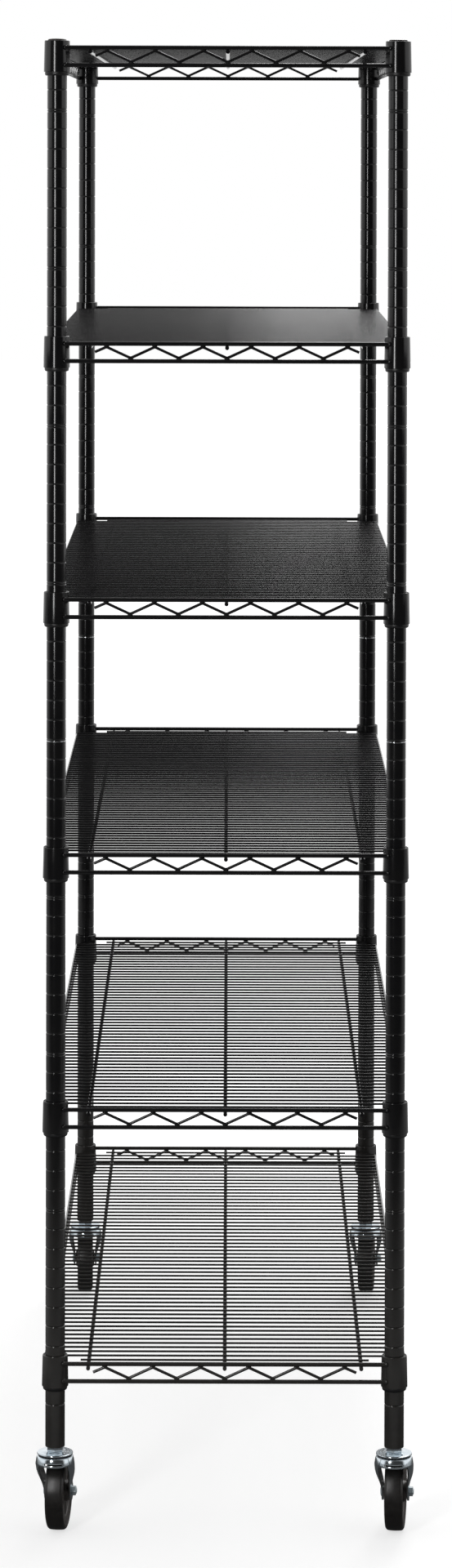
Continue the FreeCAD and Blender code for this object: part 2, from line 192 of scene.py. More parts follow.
class Tree(Graph):
    """A geometry tree with named inputs, run on an empty mesh."""

    def __init__(self, name, **inputs):
        super().__init__(bpy.data.node_groups.new(name, "GeometryNodeTree"))
        self.keys = {}
        for label, kind in inputs.items():
            item = self.tree.interface.new_socket(label, in_out="INPUT",
                                                  socket_type=SOCKET_TYPES[kind])
            self.keys[label] = item.identifier
        self.tree.interface.new_socket("Geometry", in_out="OUTPUT",
                                       socket_type="NodeSocketGeometry")
        self.entry = self.add("NodeGroupInput")

    def __getitem__(self, label):
        return self.entry[label]

    def index(self):
        return self.add("GeometryNodeInputIndex")

    def vector(self, x=0.0, y=0.0, z=0.0):
        return self.add("ShaderNodeCombineXYZ", {}, {0: x, 1: y, 2: z})

    def points(self, count, position):
        """A row of vertices in the given places, joined in order by edges."""
        row = self.add("GeometryNodeMeshLine", {}, {"Count": count})
        return self.add("GeometryNodeSetPosition", {}, {"Geometry": row, "Position": position})

    def curve(self, count, position):
        return self.add("GeometryNodeMeshToCurve", {}, {"Mesh": self.points(count, position)})

    def swept(self, path, radius, sides, swell=None):
        """A round wire along a path; swell shapes the radius along it."""
        if swell is not None:
            path = self.add("GeometryNodeSetCurveRadius", {}, {"Curve": path, "Radius": swell})
        ring = self.add("GeometryNodeCurvePrimitiveCircle", {},
                        {"Resolution": sides, "Radius": radius})
        return self.add("GeometryNodeCurveToMesh", {},
                        {"Curve": path, "Profile Curve": ring, "Fill Caps": True})

    def bar(self, half_length, radius, sides):
        """A straight round bar along X with softly rounded cut ends."""
        last = 5                       # three points at each end shape the rounding
        rounding, flatness = 0.6, 0.75
        i = self.index()
        from_end = i.maths("MINIMUM", last - i)
        step = (from_end / 2.0).clamped()
        side = (i > last / 2) * 2.0 - 1.0
        reach = half_length - step * (radius * rounding)
        swell = (1.0 - (1.0 - step) * (1.0 - step) * flatness).maths("SQRT")
        return self.swept(self.curve(last + 1, self.vector(side * reach)), radius, sides, swell)

    def bead(self):
        """A small weld spot, to be flattened where it is placed."""
        return self.add("GeometryNodeMeshIcoSphere", {}, {"Radius": WELD_R, "Subdivisions": 2})

    def placed(self, shape, points, turn=None, scale=None):
        inputs = {"Points": points, "Instance": shape}
        if turn is not None:
            inputs["Rotation"] = turn
        if scale is not None:
            inputs["Scale"] = scale
        return self.add("GeometryNodeInstanceOnPoints", {}, inputs)

    def finish(self, parts, material):
        """Real geometry, smooth, in its material, at the tree's output."""
        whole = self.add("GeometryNodeJoinGeometry", {}, {"Geometry": parts})
        real = self.add("GeometryNodeRealizeInstances", {}, {"Geometry": whole})
        painted = self.add("GeometryNodeSetMaterial", {}, {"Geometry": real, "Material": material})
        self.add("NodeGroupOutput", {}, {"Geometry": painted})

    def grow(self, name, **values):
        """Runs the tree with these values and keeps the result as a plain mesh object."""
        seed = link(bpy.data.objects.new(name, bpy.data.meshes.new(name + "_seed")))
        modifier = seed.modifiers.new("grow", "NODES")
        modifier.node_group = self.tree
        for label, value in values.items():
            modifier[self.keys[label]] = value
        return applied(seed, name)


def link(obj):
    bpy.context.scene.collection.objects.link(obj)
    return obj


def applied(obj, name):
    """Bakes an object's modifiers into a plain mesh and gives both the name."""
    bpy.context.view_layer.update()
    graph = bpy.context.evaluated_depsgraph_get()
    mesh = bpy.data.meshes.new_from_object(obj.evaluated_get(graph), depsgraph=graph)
    mesh.name = name
    obj.modifiers.clear()
    obj.data = mesh
    obj.name = name
    return obj


def grooved_post_tree():
    """A tube with a ring groove every inch, spun from a profile that the index lays out."""
    tree = Tree("grooved_post", Radius=float, Bottom=float, Top=float, Start=int, Grooves=int,
                Sides=int, Material="material")
    count = tree["Grooves"] * GROOVE_POINTS + 2 * END_POINTS
    i = tree.index()
    along = i - END_POINTS
    entry = (along / GROOVE_POINTS).floor()
    step = along - entry * GROOVE_POINTS
    number = entry + tree["Start"]
    period = (number / (GROOVES_PER_MARK + 1)).floor()
    place = number - period * (GROOVES_PER_MARK + 1)
    is_mark = place.maths("COMPARE", MARK_STEP)
    groove = period * GROOVES_PER_MARK + place - (place > MARK_STEP + 0.5)
    half = (GROOVE_POINTS - 1) / 2
    share = (step - half) * (1.25 / half)          # runs a quarter past the mouth on both sides
    hollow = (share.maths("ABSOLUTE").maths("MINIMUM", 1.0) * (math.pi / 2)).maths("COSINE")
    groove_z = GROOVE_FIRST + groove * INCH - is_mark * MARK_GAP + share * GROOVE_HALF_MOUTH
    groove_r = tree["Radius"] - hollow * hollow * GROOVE_DEPTH

    from_end = i.maths("MINIMUM", count - 1.0 - i)
    at_end = from_end < END_POINTS - 0.5
    at_top = i > count / 2.0
    shoulder = from_end > 1.5
    end_r = (POST_INNER + (from_end > 0.5) * (tree["Radius"] - POST_CHAMFER - POST_INNER)
             + shoulder * POST_CHAMFER)
    end_z = (tree["Bottom"] + at_top * (tree["Top"] - tree["Bottom"])
             + shoulder * POST_CHAMFER * (1.0 - at_top * 2.0))
    r = groove_r + at_end * (end_r - groove_r)
    z = groove_z + at_end * (end_z - groove_z)
    profile = tree.curve(count, tree.vector(r - tree["Radius"], z * -1.0))
    profile = tree.add("GeometryNodeSetSplineCyclic", {}, {"Geometry": profile, "Cyclic": True})
    ring = tree.add("GeometryNodeCurvePrimitiveCircle", {},
                    {"Resolution": tree["Sides"], "Radius": tree["Radius"]})
    ring = tree.add("GeometryNodeSetCurveNormal", {"mode": "Z_UP"}, {"Curve": ring})
    tube = tree.add("GeometryNodeCurveToMesh", {}, {"Curve": ring, "Profile Curve": profile})
    tree.finish([tube], tree["Material"])
    return tree


def wire_truss_tree():
    """Two rims with a zigzag wire welded between them, along X about the origin."""
    tree = Tree("wire_truss", Half=float, Top=float, Bottom=float, Bends=int, Material="material")
    high = tree["Top"] - RIM_R - ZIGZAG_R * ZIGZAG_SINK
    low = tree["Bottom"] + RIM_R + ZIGZAG_R * ZIGZAG_SINK
    slope = (high - low) / (ZIGZAG_PITCH / 2)
    stand_off = ((slope * slope + 1.0).maths("SQRT") - 1.0) * ZIGZAG_BEND
    high = high + stand_off
    low = low - stand_off
    bends = tree["Bends"]
    first = (bends - 1.0) * (-ZIGZAG_PITCH / 4)

    i = tree.index()
    bend = i - 1.0
    is_tail = (i < 0.5) + (i > bends + 0.5)
    side = (i > 0.5) * 2.0 - 1.0
    odd = bend.maths("FLOORED_MODULO", 2.0)
    bend_x = first + bend * (ZIGZAG_PITCH / 2)
    tail_x = side * (ZIGZAG_TAIL - first)
    tail_z = high - slope * ZIGZAG_TAIL
    bend_z = high - odd * (high - low)
    x = bend_x + is_tail * (tail_x - bend_x)
    z = bend_z + is_tail * (tail_z - bend_z)
    path = tree.curve(bends + 2.0, tree.vector(x, 0.0, z))
    path = tree.add("GeometryNodeFilletCurve", {"mode": "POLY"},
                    {"Curve": path, "Radius": ZIGZAG_BEND, "Count": 5})
    zigzag = tree.swept(path, ZIGZAG_R, ZIGZAG_SIDES)

    rim = tree.bar(tree["Half"], RIM_R, RIM_SIDES)
    rims = []
    for height in (tree["Top"], tree["Bottom"]):
        rims.append(tree.add("GeometryNodeTransform", {},
                             {"Geometry": rim, "Translation": tree.vector(0.0, 0.0, height)}))

    j = tree.index()
    low_bend = j.maths("FLOORED_MODULO", 2.0)
    contact_z = (tree["Top"] - RIM_R) - low_bend * (tree["Top"] - tree["Bottom"] - 2 * RIM_R)
    contacts = tree.points(bends, tree.vector(first + j * (ZIGZAG_PITCH / 2), 0.0, contact_z))
    beads = tree.placed(tree.bead(), contacts, scale=(2.0, 1.0, 0.55))
    tree.finish([zigzag, beads] + rims, tree["Material"])
    return tree


def wire_deck_tree():
    """Cross wires in a row, welded on three long rods."""
    tree = Tree("wire_deck", Wires=int, Pitch=float, Reach=float, Short=float, Rod_half=float,
                Material="material")
    last = tree["Wires"] - 1.0
    i = tree.index()
    y = (i - last * 0.5) * tree["Pitch"]
    from_end = i.maths("MINIMUM", last - i)
    is_short = from_end < 0.5
    wire_z = DECK_R - RIM_R
    row = tree.points(tree["Wires"], tree.vector(0.0, y, wire_z))
    wire = tree.bar(tree["Reach"], DECK_R, DECK_SIDES)
    shrink = 1.0 - is_short * (1.0 - tree["Short"] / tree["Reach"])
    wires = tree.placed(wire, row, scale=tree.vector(shrink, 1.0, 1.0))

    k = tree.index()
    rod_z = -RIM_R - ROD_R + ROD_SINK
    rod_row = tree.points(3, tree.vector((k - 1.0) * ROD_X, 0.0, rod_z))
    rod = tree.bar(tree["Rod_half"], ROD_R, ROD_SIDES)
    rods = tree.placed(rod, rod_row, turn=(0.0, 0.0, math.pi / 2))

    n = tree.index()
    column = (n / tree["Wires"]).floor()
    in_row = n - column * tree["Wires"]
    crossing = tree.vector((column - 1.0) * ROD_X, (in_row - last * 0.5) * tree["Pitch"], -RIM_R)
    crossings = tree.points(tree["Wires"] * 3.0, crossing)
    beads = tree.placed(tree.bead(), crossings, scale=(1.0, 1.0, 0.5))
    tree.finish([wires, rods, beads], tree["Material"])
    return tree


def ball_ring_tree():
    """A ring of bearing balls."""
    tree = Tree("ball_ring", Balls=int, Ring=float, Ball=float, Material="material")
    turn = tree.index() * (2.0 * math.pi) / tree["Balls"]
    place = tree.vector(turn.maths("COSINE") * tree["Ring"], turn.maths("SINE") * tree["Ring"])
    ball = tree.add("GeometryNodeMeshUVSphere", {},
                    {"Segments": 14, "Rings": 9, "Radius": tree["Ball"]})
    tree.finish([tree.placed(ball, tree.points(tree["Balls"], place))], tree["Material"])
    return tree


# ---- turned and pressed pieces ----
def stored(work, name):
    """A new object that holds a finished bmesh."""
    mesh = bpy.data.meshes.new(name)
    work.to_mesh(mesh)
    work.free()
    return link(bpy.data.objects.new(name, mesh))


def mesh_object(name, build):
    """A new object from a bmesh that the build function fills."""
    work = bmesh.new()
    build(work)
    return stored(work, name)


def spun(work, profile, sides=64, start=0.0, sweep=360.0):
    """Adds a closed (radius, height) section spun about Z; a part turn gets flat ends."""
    full = sweep >= 360.0
    steps = sides if full else max(2, round(sides * sweep / 360))
    rings = []
    for s in range(steps if full else steps + 1):
        a = math.radians(start + sweep * s / steps)
        rings.append([work.verts.new((r * math.cos(a), r * math.sin(a), z)) for r, z in profile])
    count = len(profile)
    for s in range(steps):
        near, far = rings[s], rings[(s + 1) % len(rings)]
        for p in range(count):
            q = (p + 1) % count
            work.faces.new((near[p], far[p], far[q], near[q]))
    if not full:
        work.faces.new(rings[0])
        work.faces.new(list(reversed(rings[-1])))


def tidy(work):
    """Welds poles and turns every face outwards."""
    bmesh.ops.remove_doubles(work, verts=work.verts, dist=0.001 * MM)
    bmesh.ops.recalc_face_normals(work, faces=work.faces)


def arc(centre, radius, start, end, steps):
    """Points on an arc of a (radius, height) section, angles in degrees."""
    points = []
    for k in range(steps + 1):
        a = math.radians(start + (end - start) * k / steps)
        points.append((centre[0] + radius * math.cos(a), centre[1] + radius * math.sin(a)))
    return points


def metres(profile):
    return [(r * MM, z * MM) for r, z in profile]


def turned(name, profile, sides=64, parts=((0.0, 360.0),)):
    """A spun piece about Z at the origin, from a section in millimetres."""
    def build(work):
        for start, sweep in parts:
            spun(work, metres(profile), sides, start, sweep)
        tidy(work)
    return mesh_object(name, build)


def hex_prism(work, flats, bottom, top, chamfer):
    """A hexagon bar with turned-off corners at both ends, along Z, in millimetres."""
    corner = flats / math.sqrt(3)
    rise = chamfer * 0.6
    rings = []
    for z, shrink in ((bottom, chamfer), (bottom + rise, 0), (top - rise, 0), (top, chamfer)):
        ring = []
        for k in range(6):
            a = math.radians(60 * k + 30)
            r = corner - shrink
            ring.append(work.verts.new((r * math.cos(a) * MM, r * math.sin(a) * MM, z * MM)))
        rings.append(ring)
    for near, far in zip(rings, rings[1:]):
        for k in range(6):
            m = (k + 1) % 6
            work.faces.new((near[k], near[m], far[m], far[k]))
    work.faces.new(list(reversed(rings[0])))
    work.faces.new(rings[-1])


def copies(obj, name, places):
    """One mesh with a copy of obj's mesh at each place, as a matrix; obj is used up."""
    work = bmesh.new()
    for matrix in places:
        start = len(work.verts)
        work.from_mesh(obj.data)
        work.verts.ensure_lookup_table()
        fresh = work.verts[start:]
        bmesh.ops.transform(work, matrix=matrix, verts=fresh)
    bpy.data.objects.remove(obj)
    return stored(work, name)


def joined(name, objects):
    """Several objects as one mesh."""
    work = bmesh.new()
    for obj in objects:
        work.from_mesh(obj.data)
    for obj in objects:
        bpy.data.objects.remove(obj)
    return stored(work, name)


def post_places(height=0.0):
    return [Matrix.Translation((spot.x, spot.y, height)) for spot in POSTS.values()]


def settled(obj, material, body, nodes, angle=32):
    """Last step of every piece: shading, finish, body and the CAD nodes it stands for.

    Edges sharper than the angle, in degrees, stay crisp.
    """
    obj.data.shade_smooth()
    obj.data.set_sharp_from_angle(angle=math.radians(angle))
    obj.data.materials.clear()
    obj.data.materials.append(material)
    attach(obj, body)
    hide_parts(*nodes)


# ---- finishes ----
def material_graph(name):
    material = bpy.data.materials.new(name)
    material.use_nodes = True
    return material, Graph(material.node_tree)


def surface(graph, fixed, varying):
    """A Principled surface: fixed values on its own sockets, varying ones linked."""
    shader = graph.add("ShaderNodeBsdfPrincipled", {}, {**fixed, **varying})
    graph.add("ShaderNodeOutputMaterial", {}, {"Surface": shader})


def noise(graph, place, scale, detail, roughness):
    return graph.add("ShaderNodeTexNoise", {},
                     {"Vector": place, "Scale": scale, "Detail": detail, "Roughness": roughness})


def mixed(graph, share, first, second):
    """The first colour turning into the second, a fixed one, as share goes from 0 to 1."""
    return graph.add("ShaderNodeMix", {"data_type": "RGBA"},
                     {"Factor": share, "A": first, "B": (*second, 1.0)})["Result"]


def ramp(graph, value, low, high, dark, light):
    stops = [(low, (*dark, 1.0)), (high, (*light, 1.0))]
    return graph.add("ShaderNodeValToRGB", {"stops": stops}, {"Fac": value})


def smooth(graph, value, start, end, low, high):
    """Eases from low to high as the value goes from start to end."""
    return graph.add("ShaderNodeMapRange", {"interpolation_type": "SMOOTHSTEP"},
                     {"Value": value, "From Min": start, "From Max": end,
                      "To Min": low, "To Max": high})


def bump(graph, height, strength, distance):
    return graph.add("ShaderNodeBump", {},
                     {"Height": height, "Strength": strength, "Distance": distance})


def upward(graph):
    """How far a surface faces up, from 0 to 1: where dust settles."""
    normal = graph.add("ShaderNodeNewGeometry")["Normal"]
    return graph.add("ShaderNodeSeparateXYZ", {}, {"Vector": normal})["Z"].clamped()


def black_coating():
    """Gloss black epoxy coating, with orange peel and faint mottling.

    Dust settles on what faces up, a painted sheen lightens the posts low down as a stand-in for
    light they catch there, and the post joints are worn bare.
    """
    material, g = material_graph("black_coating")
    place = g.add("ShaderNodeTexCoord")["Object"]
    height = g.add("ShaderNodeSeparateXYZ", {}, {"Vector": place})["Z"]
    mottle = noise(g, place, 34.0, 4.0, 0.6)
    peel = noise(g, place, 300.0, 2.0, 0.4)
    specks = noise(g, place, 2600.0, 1.0, 0.5)
    dust = upward(g) * ((specks - 0.52) * 6.0).clamped()
    near_joint = (height - POST_JOINT).maths("ABSOLUTE") < 0.55 * MM
    # painted sheen: base colour lighter towards the bottom of the posts, standing in for light the
    # lower posts catch
    painted_low_sheen = smooth(g, height, 0.60, 0.15, 0.0, 0.08) * (mottle + 0.5)
    worn = near_joint * ((noise(g, place, 260.0, 3.0, 0.6) - 0.30) * 6.0).clamped()
    tint = ramp(g, mottle, 0.3, 0.75, (0.0042, 0.0042, 0.0050), (0.0078, 0.0075, 0.0076))
    # real dust on upward faces, plus the painted low sheen
    dust_and_low_sheen = mixed(g, dust * 0.05 + painted_low_sheen, tint, (0.30, 0.28, 0.25))
    surface(g, {"IOR": 1.5},
            {"Base Color": mixed(g, worn, dust_and_low_sheen, (0.62, 0.63, 0.64)),
             "Roughness": 0.10 + mottle * 0.09 + dust * 0.15,
             "Metallic": worn,
             "Normal": bump(g, peel, 0.035, 0.0003)})
    return material


def moulded_black(name, darker, lighter):
    """Moulded black plastic: fine spark-eroded grain with a duller sheen than the coating."""
    material, g = material_graph(name)
    place = g.add("ShaderNodeTexCoord")["Object"]
    grain = noise(g, place, 1500.0, 3.0, 0.6)
    flow = noise(g, place, 60.0, 2.0, 0.5)
    tint = ramp(g, flow, 0.3, 0.7, darker, lighter)
    surface(g, {"IOR": 1.46},
            {"Base Color": tint, "Roughness": 0.30 + flow * 0.12 + grain * 0.06,
             "Normal": bump(g, grain, 0.18, 0.0002)})
    return material


def plated(name, colour, darker, rough, brushed, metal=1.0):
    """Plated steel: slight cloudiness, fine scratches and handling marks.

    A dull passivated coat has less than 1 for metal.
    """
    material, g = material_graph(name)
    place = g.add("ShaderNodeTexCoord")["Object"]
    cloud = noise(g, place, 55.0, 4.0, 0.55)
    stretched = g.add("ShaderNodeMapping", {}, {"Vector": place, "Scale": (1.0, 1.0, 14.0)})
    scratch = noise(g, stretched, 700.0, 3.0, 0.7)
    marks = ((scratch - 0.60) * 7.0).clamped()
    tint = ramp(g, cloud, 0.30, 0.72, darker, colour)
    surface(g, {"Metallic": metal},
            {"Base Color": tint, "Roughness": rough + cloud * 0.06 + marks * brushed,
             "Normal": bump(g, scratch, 0.05 + brushed * 0.4, 0.0001)})
    return material


def rubber():
    """Black moulded tyre: dusty tread, side walls painted lighter as a stand-in for light on their
    shaded faces, faint mould grain.
    """
    material, g = material_graph("black_rubber")
    place = g.add("ShaderNodeTexCoord")["Object"]
    grain = noise(g, place, 900.0, 4.0, 0.65)
    scuff = noise(g, place, 90.0, 5.0, 0.7)
    tread = ramp(g, scuff, 0.35, 0.8, (0.0110, 0.0102, 0.0096), (0.027, 0.0250, 0.0232))
    normal = g.add("ShaderNodeTexCoord")["Normal"]
    facing = g.add("ShaderNodeSeparateXYZ", {}, {"Vector": normal})["X"].maths("ABSOLUTE")
    # painted light: faces across the axle get a lighter base colour, standing in for light on the
    # shaded side walls
    painted_side_light = smooth(g, facing, 0.86, 0.97, 0.0, 0.7)
    tint = mixed(g, painted_side_light + scuff * 0.1, tread, (0.105, 0.092, 0.085))
    surface(g, {"IOR": 1.5},
            {"Base Color": tint, "Roughness": 0.24 + scuff * 0.20,
             "Normal": bump(g, grain, 0.07, 0.0003)})
    return material


def nylon():
    """Dark grey moulded wheel centre."""
    material, g = material_graph("grey_nylon")
    place = g.add("ShaderNodeTexCoord")["Object"]
    grain = noise(g, place, 1200.0, 3.0, 0.6)
    flow = noise(g, place, 70.0, 3.0, 0.5)
    tint = ramp(g, flow, 0.3, 0.75, (0.070, 0.062, 0.058), (0.115, 0.103, 0.096))
    surface(g, {"IOR": 1.5},
            {"Base Color": tint, "Roughness": 0.26 + flow * 0.14,
             "Normal": bump(g, grain, 0.15, 0.0002)})
    return material


COATING = black_coating()
PLASTIC = moulded_black("black_plastic", (0.005, 0.005, 0.006), (0.010, 0.0095, 0.0095))
CAP_PLASTIC = moulded_black("cap_plastic", (0.012, 0.008, 0.006), (0.030, 0.019, 0.013))
CHROME = plated("chrome_plate", (0.80, 0.86, 0.90), (0.64, 0.72, 0.78), 0.10, 0.12)
ZINC = plated("zinc_steel", (0.78, 0.86, 0.89), (0.62, 0.71, 0.75), 0.22, 0.16, 0.30)
BALL_STEEL = plated("greased_steel", (0.12, 0.12, 0.13), (0.04, 0.04, 0.045), 0.22, 0.10)
RUBBER = rubber()
NYLON = nylon()


# ---- posts ----
def groove_run(bottom, top):
    """First entry and number of entries of the groove sequence between two heights."""
    inside = []
    per_mark = GROOVES_PER_MARK + 1
    for entry in range(2 * per_mark * GROOVES_PER_MARK):
        period, place = divmod(entry, per_mark)
        groove = period * GROOVES_PER_MARK + place - (place > MARK_STEP)
        z = GROOVE_FIRST + groove * INCH - (MARK_GAP if place == MARK_STEP else 0.0)
        if bottom + 2 * GROOVE_HALF_MOUTH < z < top - 2 * GROOVE_HALF_MOUTH:
            inside.append(entry)
    return inside[0], len(inside)


def make_posts():
    tree = grooved_post_tree()
    for half, bottom, top in (("lower", POST_BOTTOM, POST_JOINT), ("upper", POST_JOINT, POST_TOP)):
        start, grooves = groove_run(bottom, top)
        for corner, spot in POSTS.items():
            tube = tree.grow("%s_tube_%s" % (half, corner), Radius=POST_R, Bottom=bottom, Top=top,
                             Start=start, Grooves=grooves, Sides=POST_SIDES, Material=COATING)
            tube.data.transform(Matrix.Translation((spot.x, spot.y, 0.0)))
            outward(tube)
            settled(tube, COATING, "root", ["%s_post_%s" % (half, corner)])


def outward(obj):
    """Turns a closed mesh's faces outwards."""
    work = bmesh.new()
    work.from_mesh(obj.data)
    tidy(work)
    work.to_mesh(obj.data)
    work.free()


def make_caps():
    """Low crowned plugs in the post tops."""
    base = round(POST_TOP / MM, 3)
    profile = [(0, base - 14), (10.6, base - 14), (11.4, base - 13), (11.4, base), (11.9, base)]
    profile += arc((10.7, base + 1.0), 1.2, 0, 70, 5)
    profile += [(9.6, base + 2.45), (6.0, base + 2.85), (2.5, base + 3.0), (0, base + 3.0)]
    cap = turned("cap_blank", profile, 48)
    caps = copies(cap, "post_cap_plugs", post_places())
    settled(caps, CAP_PLASTIC, "root", ["post_caps"])


# ---- shelves ----
def collar_blank():
    """Tapered collar with rolled rims, drawn with the end top rim at Z = 0."""
    outer = [(17.2, -30.6), (16.42, 6.0), (16.3, 8.4)]
    top = arc((15.55, 8.45), 0.75, 0, 180, 6)
    inner = [(14.8, 8.0), (15.5, -31.0), (15.7, -31.4), (16.9, -31.4), (17.15, -31.1)]
    return turned("collar_blank", outer + top + inner, 56)


def rim_end_beads():
    """Weld fillets where four rim ends meet one collar, as a flattened ball each."""
    along, across = 11.8 * MM, 13.6 * MM
    flattened = Matrix.Diagonal((3.4, 2.0, 3.1, 1.0))

    def build(work):
        for x, y, drop in ((along, -across, 0.0), (-across, along, -SIDE_DROP)):
            for z in (drop, -TRUSS_DEPTH):
                place = Matrix.Translation((x, y, z))
                turn = Matrix.Rotation(math.atan2(y, x) + math.pi / 2, 4, "Z")
                bmesh.ops.create_icosphere(work, subdivisions=3, radius=MM,
                                           matrix=place @ turn @ flattened)
        tidy(work)
    return mesh_object("bead_blank", build)


def sleeve_blank():
    """Two tapered half shells with a stepped lip, drawn with the end top rim at Z = 0."""
    outer = [(15.45, -31.7), (14.6, 8.0), (14.3, 8.5), (12.76, 8.5), (12.76, -36.0), (14.5, -36.0)]
    lip = [(15.3, -35.3), (15.7, -34.4), (15.8, -32.2), (15.7, -31.7)]
    return turned("sleeve_blank", outer + lip, 56, parts=((1.8, 176.4), (181.8, 176.4)))


def mirrored_corners(height):
    """Placement at each post, mirrored so that one corner's detail faces out at every corner."""
    places = []
    for spot in POSTS.values():
        flip_x = 1.0 if spot.x < 0 else -1.0
        flip_y = 1.0 if spot.y < PLAN.y else -1.0
        flip = Matrix.Diagonal((flip_x, flip_y, 1.0, 1.0))
        places.append(Matrix.Translation((spot.x, spot.y, height)) @ flip)
    return places


def make_shelves():
    truss_tree = wire_truss_tree()
    deck_tree = wire_deck_tree()
    end_bends = 2 * int((2 * POST_X - 2 * ZIGZAG_PITCH) / ZIGZAG_PITCH) + 1
    side_bends = 2 * int((2 * POST_Y - ZIGZAG_PITCH) / ZIGZAG_PITCH) + 1
    reach_x = POST_X + RIM_OUT
    reach_y = POST_Y + RIM_OUT
    turn = Matrix.Rotation(math.pi / 2, 4, "Z")
    for tier, height in SHELVES.items():
        plan = PLAN + Vector((0.0, 0.0, height))
        end = truss_tree.grow("end_truss", Half=POST_X - RIM_END, Top=0.0, Bottom=-TRUSS_DEPTH,
                              Bends=end_bends, Material=COATING)
        side = truss_tree.grow("side_truss", Half=POST_Y - RIM_END, Top=-SIDE_DROP,
                               Bottom=-TRUSS_DEPTH, Bends=side_bends, Material=COATING)
        ends = copies(end, "ends", [Matrix.Translation(plan + Vector((0, sign * reach_y, 0)))
                                    for sign in (-1, 1)])
        sides = copies(side, "sides",
                       [Matrix.Translation(plan + Vector((sign * reach_x, 0, 0))) @ turn
                        for sign in (-1, 1)])
        trusses = joined("shelf_%d_trusses" % tier, [ends, sides])
        settled(trusses, COATING, "root", ["shelf_%d_frame" % tier])

        deck = deck_tree.grow("shelf_%d_deck_wires" % tier, Wires=DECK_COUNT, Pitch=DECK_PITCH,
                              Reach=reach_x, Short=DECK_SHORT, Rod_half=reach_y + ROD_NUB,
                              Material=COATING)
        deck.data.transform(Matrix.Translation(plan))
        settled(deck, COATING, "root", ["shelf_%d_deck" % tier])

        rings = copies(collar_blank(), "rings", post_places(height))
        beads = copies(rim_end_beads(), "beads", mirrored_corners(height))
        collars = joined("shelf_%d_corner_rings" % tier, [rings, beads])
        outward(collars)
        settled(collars, COATING, "root", ["shelf_%d_collars" % tier])

        shells = copies(sleeve_blank(), "shelf_%d_sleeve_shells" % tier, post_places(height))
        settled(shells, PLASTIC, "root", ["shelf_%d_sleeves" % tier])


# ---- casters, in millimetres ----
FORK_ROWS = [                          # height, outer half-width, middle, half depth, sag
    (92.0, 25.3, 2.5, 16.4, 5.6), (86.0, 24.9, 6.0, 16.2, 5.0), (80.0, 23.9, 10.5, 15.7, 4.2),
    (74.0, 22.2, 15.2, 15.0, 3.2), (68.0, 20.4, 20.0, 14.2, 2.2), (62.0, 18.9, 25.0, 13.3, 1.2),
    (56.5, 18.1, 30.0, 12.6, 0.5), (50.0, 17.8, 34.0, 12.0, 0.2)]
TRAIL = 34.0
EYE_R = 12.0
LEG_OUTER = 17.8
WHEEL_R = 50.0
TREAD_FLAT = 7.5
TYRE_HALF = 12.0
SHEET = 2.4
SHEET_EDGE = 0.35
BACK_OPENING = (48, 132)               # where the skirt is cut away over the wheel, in degrees
CROWN_SLOT = (241, 298)                # the slot across the front of the skirt, in degrees
RACE_UNDER = 112.0
HEX_TOP = 118.0
HEX_FLATS = 19.6
RIB_COUNT = 6
BOLT_SEAT = 17.82
BOLT_END = 23.72
BOLT_R = 4.0
NUT_FLATS = 11.0
NUT_HEIGHT = 5.0


def fork_sheet(work):
    """Outer face of the pressed fork: crown, slotted skirt and two legs, as one sheet."""
    columns = 96
    leg_span = 11                      # columns each side of a leg's middle
    crown = [(8.2, 106.8), (14.0, 106.8), (19.0, 106.8), (22.4, 106.7), (23.2, 106.2),
             (23.6, 105.2), (24.0, 103.8), (24.3, 102.6), (24.5, 101.6), (24.75, 100.4),
             (25.05, 98.2), (25.4, 96.0)]
    first_skirt = 5
    slot_row = 9
    grid = []
    for r, z in crown:
        ring = []
        for c in range(columns):
            a = 2 * math.pi * c / columns
            ring.append(work.verts.new((r * math.cos(a) * MM, r * math.sin(a) * MM, z * MM)))
        grid.append(ring)
    for row in range(len(crown) - 1):
        for c in range(columns):
            angle = 360 * c / columns
            at_back = BACK_OPENING[0] <= angle < BACK_OPENING[1]
            in_slot = row == slot_row and CROWN_SLOT[0] < angle < CROWN_SLOT[1]
            if (at_back and row >= first_skirt) or in_slot:
                continue
            d = (c + 1) % columns
            work.faces.new((grid[row][c], grid[row + 1][c], grid[row + 1][d], grid[row][d]))
    for side, centre in ((1, 0), (-1, columns // 2)):
        above = [grid[-1][(centre + side * k) % columns] for k in range(-leg_span, leg_span + 1)]
        rows = list(FORK_ROWS)
        for turn in (22, 44, 64, 80):
            a = math.radians(turn)
            reach = math.cos(a)
            rows.append((WHEEL_R - EYE_R * math.sin(a), LEG_OUTER, TRAIL, EYE_R * reach,
                         0.15 * reach))
        for z, outer, mid, half, sag in rows:
            below = []
            for k in range(-leg_span, leg_span + 1):
                share = k / leg_span
                x = side * (outer - sag * share * share)
                below.append(work.verts.new((x * MM, (mid + half * share) * MM, z * MM)))
            for a, b, c, d in zip(above, above[1:], below[1:], below):
                work.faces.new((a, b, c, d) if side > 0 else (d, c, b, a))
            above = below
    bmesh.ops.recalc_face_normals(work, faces=work.faces)


def make_fork(corner, place):
    """One pressed fork, with the sheet's thickness inwards and its edges eased."""
    fork = mesh_object("fork_blank", fork_sheet)
    if face_up(fork) < 0:
        fork.data.flip_normals()
    sheet = fork.modifiers.new("sheet", "SOLIDIFY")
    sheet.thickness = SHEET * MM
    sheet.offset = -1.0
    sheet.use_even_offset = False
    edge = fork.modifiers.new("edge", "BEVEL")
    edge.width = SHEET_EDGE * MM
    edge.segments = 2
    edge.limit_method = "ANGLE"
    edge.angle_limit = math.radians(55)
    applied(fork, "fork_shell_" + corner)
    fork.data.transform(place)
    settled(fork, CHROME, "fork_" + corner, ["fork_" + corner], 40)


def face_up(obj):
    """Sign of the crown's top face: positive if it already faces up."""
    top = max(obj.data.polygons, key=lambda p: p.center.z)
    return top.normal.z


